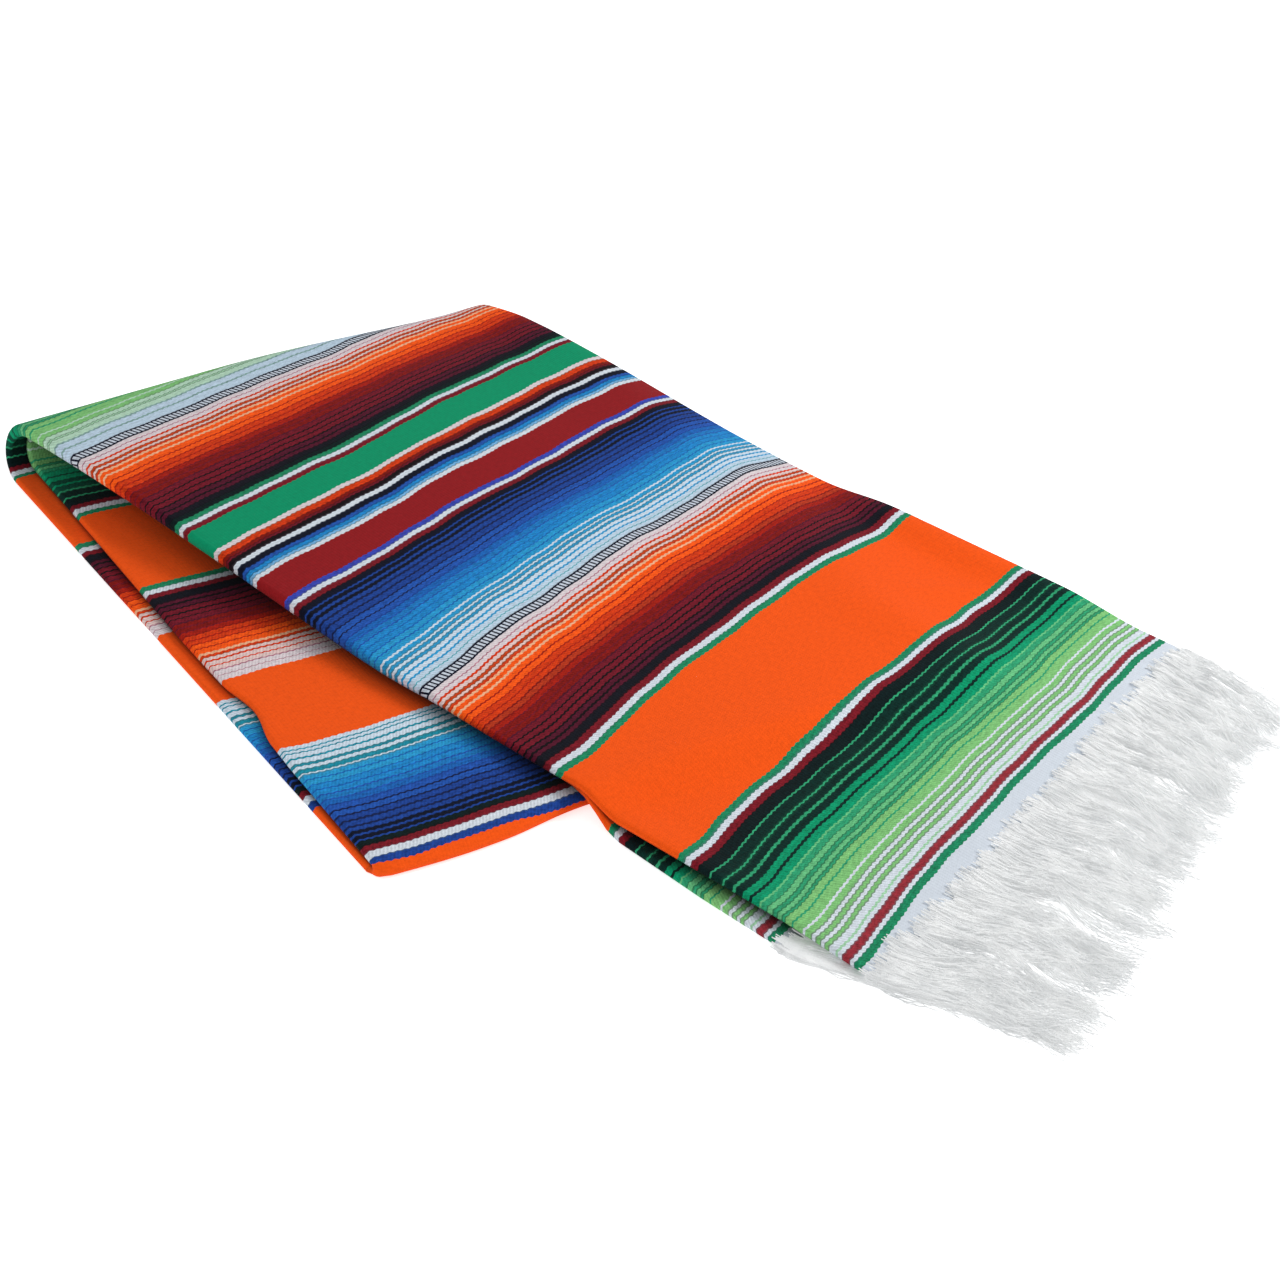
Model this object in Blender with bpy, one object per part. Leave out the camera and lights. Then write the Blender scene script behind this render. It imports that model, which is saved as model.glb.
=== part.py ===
"""A striped serape blanket, folded into a long strip and lying on a flat surface.

The blanket is one woven panel with a fringe at each end. It is folded twice along its length
to a strip of four layers, then in half across its centre band. The two halves lie on each
other, and the doubled strip is folded over once more at the far end, where it bends round an
open loop. The upper run lies over the lower run and then down on the surface. Each half is
one solid with a rounded fold along its near side and layered folds along its far side, in
three stretches: the top run, the far loop and the run under it.

Lengths are in metres. The cloth is laid out in its own unrolled plan: x runs along the top
run, from the far loop (minus) to the fringe (plus), with zero at the green line beside the
fringe, and y runs across it from the near edge. place() rolls that plan round the far loop.
"""

import math
import random
from collections import namedtuple

import bmesh
import bpy
from mathutils import Vector

# Cloth and stack
LAYER = 0.00115  # one layer of weft-faced cloth
HALF_THICK = 4 * LAYER  # each half of the blanket is folded to four layers
SEAM = 0.0003  # parting between pieces that touch
STACK = 2 * HALF_THICK + SEAM  # both halves on each other

# Far loop, where the doubled strip folds over
TURN = math.radians(15.9)  # angle in plan between the top run and the lower run
LOOP_START = Vector((-0.6325, -0.0041))  # near edge's place where the loop begins
LOOP_TALL = 0.038  # outer height of the loop over its near part
LOOP_LOW = 0.029  # outer height at its far end, where the strip sags
LOOP_SAG_FROM = 0.15  # distance along the loop where the sag begins
STRIP_WIDTH = 0.375

# Lengths along the unrolled cloth
HEADER_END = 0.013  # woven end beside the fringe, past the green line
STRIPE_SKEW = 0.128  # x lost for each metre across, at the fringed end
INNER_END = -1.096  # end of the inner half's lower run, where the centre band turns down
NOSE_REACH = 0.010  # depth of the rounded fold at the centre band
NOSE_FLAT = 0.42  # share of that depth before the fold starts to round
NOSE_ARC = (-90, -60, -30, 0, 30, 60, 90)  # degrees
NOSE_CORNER = 0.010  # the fold tapers over this length at each side

# Height of the top run
RAMP_LENGTH = 0.40  # from the loop to where the top run touches the lower run
DROP_START = 0.007  # past the lower run's rounded end
DROP_LENGTH = 0.036  # over which the top run comes down to the surface
SIDE_START = 0.020  # the same past the lower run's far side edge
SIDE_DROP = 0.080
EDGE_HOOK = 0.0032  # the outer half's near edge curls down over the inner half
HOOK_FROM = -0.27  # unrolled x where the curl starts, on the top run
HOOK_RISE = 0.06
HOOK_PAST = 0.010  # distance round the loop where it starts to fade
HOOK_FADE = 0.030
FAR_EDGE_AT = -0.80  # unrolled x at which the lower run's far side is taken

# Rounding of the edges: reach along y, and shares of that reach and of the depth
FOLD_ROUND = 0.0026
LOBE_ROUND = 0.0015
EdgePoint = namedtuple("EdgePoint", "inset depth")
SINGLE_FOLD = (
    EdgePoint(1.00, 0.00),
    EdgePoint(0.30, 0.14),
    EdgePoint(0.00, 0.42),
    EdgePoint(0.10, 0.74),
    EdgePoint(0.55, 0.95),
    EdgePoint(1.20, 1.00),
    EdgePoint(1.60, 1.00),
)
TWO_FOLDS = (
    EdgePoint(1.00, 0.000),
    EdgePoint(0.20, 0.125),
    EdgePoint(0.00, 0.300),
    EdgePoint(1.30, 0.500),
    EdgePoint(0.15, 0.700),
    EdgePoint(0.30, 0.890),
    EdgePoint(1.00, 1.000),
)

# Taper of the centre fold at its sides: place in the corner, and share of the full reach
Taper = namedtuple("Taper", "place swell")
NOSE_TAPER = (Taper(0.06, 0.45), Taper(0.20, 0.72), Taper(0.50, 0.90))
NOSE_SPANS = 6

# Where the halves' edges run, from the near edge (y) at each unrolled x
Edge = namedtuple("Edge", "x near far")
OUTER_EDGES = (
    Edge(0.02, 0.0040, 0.3795),
    Edge(-0.15, 0.0020, 0.3770),
    Edge(-0.35, 0.0005, 0.3740),
    Edge(-0.59, 0.0012, 0.3650),
    Edge(-0.68, 0.0010, 0.3650),
    Edge(-1.13, 0.0125, 0.3680),
)
INNER_EDGES = (
    Edge(0.02, -0.0075, 0.3770),
    Edge(-0.09, -0.0050, 0.3755),
    Edge(-0.20, 0.0055, 0.3740),
    Edge(-0.30, 0.0105, 0.3720),
    Edge(-0.59, 0.0110, 0.3625),
    Edge(-0.72, 0.0122, 0.3625),
    Edge(-0.88, 0.0122, 0.3635),
    Edge(-0.94, 0.0140, 0.3640),
    Edge(-1.01, 0.0118, 0.3650),
    Edge(-1.13, 0.0115, 0.3660),
)

# Soft ridges of the outer half over the inner one: a bump across (y, width) with a run in x
Ridge = namedtuple("Ridge", "y width x_from x_to height")
RIDGES = (
    Ridge(0.004, 0.050, -0.200, 0.010, 0.0026),
    Ridge(0.135, 0.060, -0.170, 0.030, 0.0014),
    Ridge(0.262, 0.070, -0.240, 0.000, 0.0018),
    Ridge(0.372, 0.050, -0.300, -0.060, 0.0052),
    Ridge(0.190, 0.080, -0.420, -0.230, 0.0012),
)
RIDGE_FADE = 0.060  # length over which a ridge rises at each end

# Stations of the top run, as a share of the way from the fringed end to the loop
TOP_STATIONS = (
    0.0, 0.036, 0.072, 0.11, 0.135, 0.155, 0.175, 0.195, 0.215, 0.235, 0.255, 0.275, 0.295, 0.315,
    0.335, 0.36, 0.40, 0.45, 0.51, 0.58, 0.66, 0.74, 0.82, 0.89, 0.95, 0.98, 1.0,
)
INNER_FIRST_STATION = 2  # the inner half's woven end lies this far back
LOOP_STATIONS = 12
UNDER_STATIONS = 9
FACE_FROM = 0.024  # y of the first point across every face
FACE_WIDTH = 0.332
FACE_SPANS = 14
FACE_LINES = [FACE_FROM + k * FACE_WIDTH / FACE_SPANS for k in range(FACE_SPANS + 1)]
SHOULDER = 0.007  # from the near edge to where the inner face is level

# Fringe
Fringe = namedtuple(
    "Fringe", "name locks station length_near length_far root_z tip_z rest lean_near lean_far"
)
OUTER_FRINGE = Fringe(
    "outer_fringe", 62, 0.0, 0.096, 0.068, 0.0069, 0.0023, 0.42, math.radians(25), math.radians(-5)
)
INNER_FRINGE = Fringe(
    "inner_fringe", 54, TOP_STATIONS[INNER_FIRST_STATION], 0.080, 0.074, 0.0024, 0.0021, 0.0,
    math.radians(23), math.radians(-4)
)
LOCK_TAPER = 0.55  # width left at a lock's end
FRINGE_INSET = 0.0015  # the backing ends this far inside the cloth's side edges
BACKING_DEPTH = 0.004  # along x
BACKING_THICK = 0.0036
LOCK_THICK = 0.0028
LOCK_GAP = 0.0011  # between the roots of two locks
LOCK_STEPS = 3
LOCK_THINNING = 0.3  # share of a lock's thickness lost at its end
TIP_JITTER = 0.0007  # sideways, at a lock's end
HEIGHT_JITTER = 0.0002
LENGTH_JITTER = 0.04  # share of a lock's length
LENGTH_SWELL = 0.008  # the middle locks are this much longer

# The bounding box's bottom centre, in the unrolled plan's own place
ORIGIN = Vector((-0.27272, 0.13327, 0.0))

ORANGE = (1.0, 0.115, 0.014)
GREEN = (0.010, 0.300, 0.145)
DARK_GREEN = (0.004, 0.070, 0.035)
BLUE = (0.022, 0.230, 0.620)
ROYAL = (0.024, 0.080, 0.500)
WHITE = (0.80, 0.82, 0.86)


def clear_scene():
    for obj in list(bpy.data.objects):
        bpy.data.objects.remove(obj, do_unlink=True)


def cloth_material(name, colour, roughness=0.9):
    material = bpy.data.materials.new(name)
    material.use_nodes = True
    shader = material.node_tree.nodes["Principled BSDF"]
    shader.inputs["Base Color"].default_value = (*colour, 1.0)
    shader.inputs["Roughness"].default_value = roughness
    shader.inputs["Metallic"].default_value = 0.0
    return material


def smooth(value):
    """0 below zero, 1 above one, with level ends between."""
    t = min(1.0, max(0.0, value))
    return t * t * (3 - 2 * t)


def between(rows, x, column):
    """The value of a column at x, from a table whose x falls from row to row."""
    if x >= rows[0].x:
        return getattr(rows[0], column)
    for first, last in zip(rows, rows[1:]):
        if x >= last.x:
            share = (x - first.x) / (last.x - first.x)
            return (1 - share) * getattr(first, column) + share * getattr(last, column)
    return getattr(rows[-1], column)


# The loop's crease lies across the bisector of the two runs
CREASE = Vector((math.sin(TURN / 2), math.cos(TURN / 2)))
OUTWARD = Vector((-CREASE.y, CREASE.x))
LOWER_RUN = Vector((math.cos(TURN), -math.sin(TURN)))
LOWER_ACROSS = Vector((math.sin(TURN), math.cos(TURN)))


def crease_coordinates(x, y):
    """Distance past the loop's start, and distance along the crease."""
    from_start = Vector((x, y)) - LOOP_START
    return from_start.dot(OUTWARD), from_start.dot(CREASE)


def loop_radius(along):
    sag = smooth((along - LOOP_SAG_FROM) / (STRIP_WIDTH - LOOP_SAG_FROM))
    return (LOOP_TALL + (LOOP_LOW - LOOP_TALL) * sag) / 2


def loop_wrap(skin):
    """Length of cloth round the loop; skin is how deep the half lies in the stack."""
    return math.pi * (LOOP_TALL / 2 - skin - HALF_THICK / 2)


def lower_plan(skin, x, y):
    """Plan place of a point of the lower run."""
    past, along = crease_coordinates(x, y)
    return LOOP_START + CREASE * along - OUTWARD * (past - loop_wrap(skin))


NOSE_TIP = lower_plan(HALF_THICK + SEAM, INNER_END - NOSE_REACH, 0.0)
LOWER_FAR_EDGE = lower_plan(
    HALF_THICK + SEAM, FAR_EDGE_AT, between(INNER_EDGES, FAR_EDGE_AT, "far")
)


def top_height(x, y):
    """Height of the top run's upper face, before the outer half's own ridges."""
    past, along = crease_coordinates(x, y)
    run = -past
    touching = 2 * STACK + SEAM
    loop_height = 2 * loop_radius(along)
    ease = (1 + math.cos(math.pi * min(1.0, max(0.0, run / RAMP_LENGTH)))) / 2
    on_lower_run = touching + (loop_height - touching) * ease
    plan = Vector((x, y))
    past_tip = (plan - NOSE_TIP).dot(LOWER_RUN)
    past_side = (plan - LOWER_FAR_EDGE).dot(LOWER_ACROSS)
    tip_cover = 1 - smooth((past_tip - DROP_START) / DROP_LENGTH)
    side_cover = 1 - smooth((past_side - SIDE_START) / SIDE_DROP)
    return STACK + (on_lower_run - STACK) * tip_cover * side_cover


def ridge_lift(x, y):
    lift = 0.0
    for ridge in RIDGES:
        across = max(0.0, 1 - abs(y - ridge.y) / (ridge.width / 2))
        rise = smooth((x - ridge.x_from) / RIDGE_FADE) * smooth((ridge.x_to - x) / RIDGE_FADE)
        lift += ridge.height * smooth(across) * rise
    return lift


def place(skin, x, y, depth):
    """Roll a point of a half into place: depth is measured in from the half's outer face."""
    past, along = crease_coordinates(x, y)
    wrap = loop_wrap(skin)
    if past <= 0:
        height = top_height(x, y) - skin - depth
        if skin == 0:
            height += ridge_lift(x, y)
        spot = Vector((x, y, height))
    elif past < wrap:
        angle = math.pi * past / wrap
        radius = loop_radius(along)
        reach = radius - skin - depth
        plan = LOOP_START + CREASE * along + OUTWARD * (reach * math.sin(angle))
        spot = Vector((plan.x, plan.y, radius + reach * math.cos(angle)))
    else:
        plan = lower_plan(skin, x, y)
        spot = Vector((plan.x, plan.y, skin + depth))
    return spot - ORIGIN


def fold_edge(hook):
    """A single rounded fold: (inset from the edge, depth), from the outer face to the inner."""
    return [(FOLD_ROUND * p.inset, (HALF_THICK + hook) * p.depth) for p in SINGLE_FOLD]


def layered_edge():
    """Two folds lying on each other, with the parting between them drawn in."""
    return [(LOBE_ROUND * p.inset, HALF_THICK * p.depth) for p in TWO_FOLDS]


def half_ring(near, far, near_points, far_points):
    """One section of a half, as (y, depth): outer face, far edge, inner face, near edge."""
    ring = [(y, 0.0) for y in FACE_LINES]
    ring += [(far - inset, depth) for inset, depth in far_points]
    ring += [(y, HALF_THICK) for y in reversed(FACE_LINES)]
    ring.append((near + SHOULDER, HALF_THICK))
    ring += [(near + inset, depth) for inset, depth in reversed(near_points)]
    return ring


def loft(name, rings, material, fold_at=None):
    """A closed solid through rings of equal length. Diagonals mirror past the index fold_at,
    so that the faces of two halves that lie on each other are cut alike."""
    mesh = bmesh.new()
    rows = [[mesh.verts.new(point) for point in ring] for ring in rings]
    count = len(rows[0])
    turn = fold_at or count
    for first, last in zip(rows, rows[1:]):
        for k in range(count):
            after = (k + 1) % count
            if k < turn:
                mesh.faces.new((first[k], first[after], last[after]))
                mesh.faces.new((first[k], last[after], last[k]))
            else:
                mesh.faces.new((first[k], first[after], last[k]))
                mesh.faces.new((first[after], last[after], last[k]))
    mesh.faces.new(reversed(rows[0]))
    mesh.faces.new(rows[-1])
    return finish(name, mesh, material)


def finish(name, mesh, material):
    bmesh.ops.triangulate(mesh, faces=mesh.faces[:])
    bmesh.ops.recalc_face_normals(mesh, faces=mesh.faces[:])
    data = bpy.data.meshes.new(name)
    mesh.to_mesh(data)
    mesh.free()
    data.materials.append(material)
    obj = bpy.data.objects.new(name, data)
    bpy.context.collection.objects.link(obj)
    return obj


def hook_at(x):
    """The near edge's curl starts where the top run lies on the lower one and ends in the loop."""
    past, _ = crease_coordinates(x, 0.0)
    return EDGE_HOOK * smooth((HOOK_FROM - x) / HOOK_RISE) * (1 - smooth((past - HOOK_PAST) / HOOK_FADE))


def section_at_x(skin, edges, x_of_y):
    """A section of a half along the line x = x_of_y(y)."""
    near = between(edges, x_of_y(0.0), "near")
    far = between(edges, x_of_y(STRIP_WIDTH / 2), "far")
    hook = hook_at(x_of_y(0.0)) if skin == 0 else 0.0
    ring = half_ring(near, far, fold_edge(hook), layered_edge())
    return [place(skin, x_of_y(y), y, depth) for y, depth in ring]


def loop_line(past):
    """x on the line that lies the given distance past the loop's start."""
    def x_of_y(y):
        from_start = y - LOOP_START.y
        along = (from_start - OUTWARD.y * past) / CREASE.y
        return LOOP_START.x + CREASE.x * along + OUTWARD.x * past
    return x_of_y


def stripe_line(x_near):
    """x on the line of a stripe of the fringed end."""
    return lambda y: x_near - STRIPE_SKEW * y


def blend_line(first, last, share):
    return lambda y: (1 - share) * first(y) + share * last(y)


INNER_FACE_FROM = len(FACE_LINES) + len(layered_edge()) - 1


def top_line(share):
    return blend_line(stripe_line(HEADER_END), loop_line(-SEAM / 2), share)


def top_run(name, skin, edges, stations, material):
    rings = [section_at_x(skin, edges, top_line(share)) for share in stations]
    return loft(name, rings, material, INNER_FACE_FROM)


def far_loop(name, skin, edges, material):
    spans = LOOP_STATIONS - 1
    bend = loop_wrap(skin) - SEAM
    rings = [
        section_at_x(skin, edges, loop_line(SEAM / 2 + bend * k / spans))
        for k in range(LOOP_STATIONS)
    ]
    return loft(name, rings, material)


def under_run(name, skin, edges, material):
    start = loop_line(loop_wrap(skin) + SEAM / 2)
    end_plan = lower_plan(HALF_THICK + SEAM, INNER_END, 0.0)
    own_end = lower_plan(skin, INNER_END, 0.0)
    end_x = INNER_END - (end_plan - own_end).dot(LOWER_RUN)
    spans = UNDER_STATIONS - 1
    rings = [
        section_at_x(skin, edges, blend_line(start, lambda y: end_x, k / spans))
        for k in range(UNDER_STATIONS)
    ]
    return loft(name, rings, material)


def centre_band_profile():
    """(reach, height) round the fold, from the surface up."""
    bend = NOSE_REACH * (1 - NOSE_FLAT)
    profile = [(0.0, 0.0)]
    for degrees in NOSE_ARC:
        angle = math.radians(degrees)
        reach = NOSE_REACH * NOSE_FLAT + bend * math.cos(angle)
        profile.append((reach, STACK / 2 * (1 + math.sin(angle))))
    return profile + [(0.0, STACK)]


def centre_band_stations(near, far):
    """(y, swell) across the fold, with a taper at each side."""
    level_from = near + NOSE_CORNER
    level_to = far - NOSE_CORNER
    stations = [(near + t.place * NOSE_CORNER, t.swell) for t in NOSE_TAPER]
    stations += [
        (level_from + (level_to - level_from) * k / NOSE_SPANS, 1.0) for k in range(NOSE_SPANS + 1)
    ]
    stations += [(far - t.place * NOSE_CORNER, t.swell) for t in reversed(NOSE_TAPER)]
    return stations


def centre_band_fold(material):
    """The rounded fold that joins the two halves, across the end of the lower run."""
    skin = HALF_THICK + SEAM
    near = between(INNER_EDGES, INNER_END, "near")
    far = between(INNER_EDGES, INNER_END, "far")
    rings = []
    for y, swell in centre_band_stations(near, far):
        ring = []
        for reach, height in centre_band_profile():
            plan = lower_plan(skin, INNER_END - SEAM - reach * swell, y)
            ring.append(Vector((plan.x, plan.y, height)) - ORIGIN)
        rings.append(ring)
    return loft("centre_band_fold", rings, material)


def jitter(index, salt):
    """A repeatable uneven value from -1 to 1."""
    return random.Random(index + 1000 * salt).uniform(-1.0, 1.0)


def lock_section(fringe, y_root, index, count, share):
    """Centre, width and thickness of a lock at a share of its length."""
    across = index / (count - 1)
    lean = fringe.lean_near + (fringe.lean_far - fringe.lean_near) * across
    full = fringe.length_near + (fringe.length_far - fringe.length_near) * across
    full += 4 * LENGTH_SWELL * across * (1 - across)
    length = full * (1 + LENGTH_JITTER * jitter(index, 1))
    side = math.sin(lean) * length * share + TIP_JITTER * jitter(index, 2) * share
    x_root = top_line(fringe.station)(y_root) + SEAM + BACKING_DEPTH
    x = x_root + math.cos(lean) * length * share
    fall = smooth((share - fringe.rest) / (1 - fringe.rest))
    z = fringe.root_z + (fringe.tip_z - fringe.root_z) * fall
    z += HEIGHT_JITTER * jitter(index, 3) * share
    pitch = STRIP_WIDTH / count
    width = (pitch - LOCK_GAP) * (1 - (1 - LOCK_TAPER) * share)
    return Vector((x, y_root + side, z)), width, LOCK_THICK * (1 - LOCK_THINNING * share)


def fringe_node(fringe, edges, material):
    """A narrow backing strip whose front carries a row of four-sided locks."""
    line = top_line(fringe.station)
    near = between(edges, line(0.0), "near") + FRINGE_INSET
    far = between(edges, line(STRIP_WIDTH / 2), "far") - FRINGE_INSET
    mesh = bmesh.new()
    cuts = [near + (far - near) * k / fringe.locks for k in range(fringe.locks + 1)]
    low = fringe.root_z - BACKING_THICK / 2
    high = fringe.root_z + BACKING_THICK / 2
    posts = []
    for y in cuts:
        back = line(y) + SEAM
        front = back + BACKING_DEPTH
        corners = ((back, low), (front, low), (front, high), (back, high))
        posts.append([mesh.verts.new(Vector((x, y, z)) - ORIGIN) for x, z in corners])
    for first, last in zip(posts, posts[1:]):
        for k in (0, 2, 3):
            after = (k + 1) % 4
            mesh.faces.new((first[k], last[k], last[after], first[after]))
    mesh.faces.new(posts[0])
    mesh.faces.new(reversed(posts[-1]))
    for index in range(fringe.locks):
        y_root = (cuts[index] + cuts[index + 1]) / 2
        rim = (posts[index][1], posts[index + 1][1], posts[index + 1][2], posts[index][2])
        previous = rim
        for step in range(LOCK_STEPS + 1):
            centre, width, thick = lock_section(
                fringe, y_root, index, fringe.locks, step / LOCK_STEPS
            )
            corners = ((-1, -1), (1, -1), (1, 1), (-1, 1))
            ring = []
            for side, up in corners:
                y = centre.y + side * width / 2
                x = centre.x
                if step == 0:
                    x = line(y) + SEAM + BACKING_DEPTH
                spot = Vector((x, y, centre.z + up * thick / 2))
                ring.append(mesh.verts.new(spot - ORIGIN))
            for k in range(4):
                after = (k + 1) % 4
                mesh.faces.new((previous[k], previous[after], ring[after], ring[k]))
            previous = ring
        mesh.faces.new(previous)
    return finish(fringe.name, mesh, material)


def main():
    clear_scene()
    inner_skin = HALF_THICK + SEAM
    inner_stations = TOP_STATIONS[INNER_FIRST_STATION:]
    top_run("outer_half_top", 0.0, OUTER_EDGES, TOP_STATIONS, cloth_material("outer_top", ORANGE))
    top_run("inner_half_top", inner_skin, INNER_EDGES, inner_stations, cloth_material("inner_top", GREEN))
    far_loop("outer_half_loop", 0.0, OUTER_EDGES, cloth_material("outer_loop", DARK_GREEN))
    far_loop("inner_half_loop", inner_skin, INNER_EDGES, cloth_material("inner_loop", GREEN))
    under_run("outer_half_under", 0.0, OUTER_EDGES, cloth_material("outer_under", ROYAL))
    under_run("inner_half_under", inner_skin, INNER_EDGES, cloth_material("inner_under", BLUE))
    centre_band_fold(cloth_material("centre_band", ORANGE))
    fringe_node(OUTER_FRINGE, OUTER_EDGES, cloth_material("outer_fringe_yarn", WHITE, 0.95))
    fringe_node(INNER_FRINGE, INNER_EDGES, cloth_material("inner_fringe_yarn", WHITE, 0.95))


main()
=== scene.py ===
# %% [markdown]
# # A folded serape
# A serape is one woven panel with a fringe at each end. This one lies folded: twice along its
# length, then in half across its centre band, and the doubled strip is folded over once more.
# Here the whole panel is one continuous shell of cloth that follows those folds, and its
# stripes follow the cloth. The two fringes are yarn, made with Geometry Nodes.

import math
import random
from collections import namedtuple
from functools import partial

import bmesh
import bpy
from mathutils import Matrix, Vector


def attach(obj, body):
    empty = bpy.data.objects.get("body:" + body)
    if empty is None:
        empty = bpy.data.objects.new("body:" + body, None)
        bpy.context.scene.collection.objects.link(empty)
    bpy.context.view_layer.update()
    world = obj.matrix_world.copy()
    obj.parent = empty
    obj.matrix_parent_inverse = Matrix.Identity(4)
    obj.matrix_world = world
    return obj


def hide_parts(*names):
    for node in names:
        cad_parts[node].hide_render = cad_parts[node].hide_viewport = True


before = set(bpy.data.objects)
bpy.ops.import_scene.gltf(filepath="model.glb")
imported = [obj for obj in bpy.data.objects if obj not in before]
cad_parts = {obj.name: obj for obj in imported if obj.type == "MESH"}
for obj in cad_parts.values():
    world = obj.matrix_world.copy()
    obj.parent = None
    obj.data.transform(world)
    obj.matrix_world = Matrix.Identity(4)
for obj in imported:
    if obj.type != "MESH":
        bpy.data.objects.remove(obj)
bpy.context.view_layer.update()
MM = 0.001
BODY = "root"
print("The frame has", len(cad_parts), "nodes")

# %% [markdown]
# Colours are named below as sRGB hex values, which a shader needs as linear numbers. Nodes,
# materials and objects are made often, so each of these jobs gets one small function.

# %% Colour, node and object helpers
def linear(code):
    """An sRGB hex code as a linear colour."""
    def channel(value):
        return value / 12.92 if value <= 0.04045 else ((value + 0.055) / 1.055) ** 2.4
    return (*[channel(int(code[k:k + 2], 16) / 255) for k in (1, 3, 5)], 1.0)


def add(tree, kind, settings=None, inputs=None):
    """A new node with its settings, and its inputs as values or as outputs of other nodes."""
    made = tree.nodes.new(kind)
    for name, value in (settings or {}).items():
        setattr(made, name, value)
    for socket, value in (inputs or {}).items():
        if isinstance(value, bpy.types.NodeSocket):
            tree.links.new(value, made.inputs[socket])
        else:
            made.inputs[socket].default_value = value
    return made


def out(*where, **how):
    """The first output of a new node."""
    return add(*where, **how).outputs[0]


def math_node(operation, *numbers):
    """One sum on numbers and outputs, in the tree of the outputs."""
    tree = next(number.id_data for number in numbers if isinstance(number, bpy.types.NodeSocket))
    return out(tree, "ShaderNodeMath", {"operation": operation}, dict(enumerate(numbers)))


plus = partial(math_node, "ADD")
minus = partial(math_node, "SUBTRACT")
times = partial(math_node, "MULTIPLY")
over = partial(math_node, "DIVIDE")
sine = partial(math_node, "SINE")
magnitude = partial(math_node, "ABSOLUTE")


def scaled(vector, factor):
    return out(vector.id_data, "ShaderNodeVectorMath", {"operation": "SCALE"}, {0: vector, "Scale": factor})


def summed(first, second):
    return out(first.id_data, "ShaderNodeVectorMath", {"operation": "ADD"}, {0: first, 1: second})


def noise(where, scale, detail, roughness=0.5):
    inputs = {"Vector": where, "Scale": scale, "Detail": detail, "Roughness": roughness}
    return add(where.id_data, "ShaderNodeTexNoise", inputs=inputs)


def mapped(value, low, high, first=0.0, last=1.0):
    """The value, with first to last spread over low to high."""
    inputs = {0: value, 1: first, 2: last, 3: low, 4: high}
    return out(value.id_data, "ShaderNodeMapRange", inputs=inputs)


def new_material(name, values):
    """A material, its node tree and its shader, with constants set on the shader's own sockets."""
    material = bpy.data.materials.new(name)
    material.use_nodes = True
    shader = material.node_tree.nodes["Principled BSDF"]
    for socket, value in values.items():
        shader.inputs[socket].default_value = value
    return material, material.node_tree, shader


def roughen(shader, height, strength, distance):
    """Relief in the shading, from a height."""
    inputs = {"Height": height, "Strength": strength, "Distance": distance}
    bump = out(height.id_data, "ShaderNodeBump", inputs=inputs)
    bump.id_data.links.new(bump, shader.inputs["Normal"])


def put(name, data):
    """A new object in the scene."""
    made = bpy.data.objects.new(name, data)
    bpy.context.collection.objects.link(made)
    return made


# %% [markdown]
# ## Camera
# The eye stands in front of the near corner and looks down at the strip. The lens is a short
# telephoto, so the long edges hardly converge. The picture is a square of 1280 by 1280.

# %% Camera
EYE = Vector((0.72582, -0.93881, 0.78052))
EYE_TURN = math.radians(126.836)  # direction of view in plan, from +X
EYE_DIP = math.radians(33.089)
EYE_ROLL = math.radians(6.514)
IMAGE_SIDE = 1280
FOCAL_PIXELS = 2465.86
SENSOR = 36.0


def add_camera():
    facing = Vector((math.cos(EYE_TURN), math.sin(EYE_TURN), 0.0))
    ahead = facing * math.cos(EYE_DIP) - Vector((0.0, 0.0, math.sin(EYE_DIP)))
    level = Vector((facing.y, -facing.x, 0.0))
    upright = level.cross(ahead)
    right = level * math.cos(EYE_ROLL) + upright * math.sin(EYE_ROLL)
    up = upright * math.cos(EYE_ROLL) - level * math.sin(EYE_ROLL)
    data = bpy.data.cameras.new("camera")
    data.sensor_width = SENSOR
    data.lens = FOCAL_PIXELS / IMAGE_SIDE * SENSOR
    camera = put("camera", data)
    turned = Matrix((right, up, -ahead)).transposed().to_4x4()
    camera.matrix_world = Matrix.Translation(EYE) @ turned
    bpy.context.scene.camera = camera
    print("Lens", round(data.lens, 1), "mm")


add_camera()

# %% [markdown]
# ## The fold
# The cloth is laid out in its own plan: x runs along the strip, from zero at the green line
# beside the outer fringe down towards the far loop, and y runs across it from the near side.
# A point also has a depth under the face of the strip, and place() rolls the plan round the
# far loop. The sizes are close to those of the solids that the cloth covers.

# %% Sizes of the fold
LAYER = 1.15 * MM
HALF_THICK = 4 * LAYER
SEAM = 0.3 * MM  # between the two halves
STACK = 2 * HALF_THICK + SEAM
INNER_SKIN = HALF_THICK + SEAM  # depth of the inner half's face under the outer half's
ORIGIN = Vector((-0.27272, 0.13327, 0.0))  # of the frame, in the plan

TURN = math.radians(15.9)  # of the lower run against the top run
LOOP_START = Vector((-0.6325, -0.0041))
LOOP_TALL = 0.038  # at the near side
LOOP_LOW = 0.029  # at the far side
LOOP_SAG_FROM = 0.15
STRIP_WIDTH = 0.375

HEADER_END = 0.013  # the outer half's woven end
STRIPE_SKEW = 0.128  # x that a stripe loses for each metre across, at that end
INNER_END = -1.096  # where the lower run turns into the centre band's fold
NOSE_REACH = 0.010  # of that fold
NOSE_FLAT = 0.42 * NOSE_REACH
NOSE_CORNER = 0.010

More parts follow.
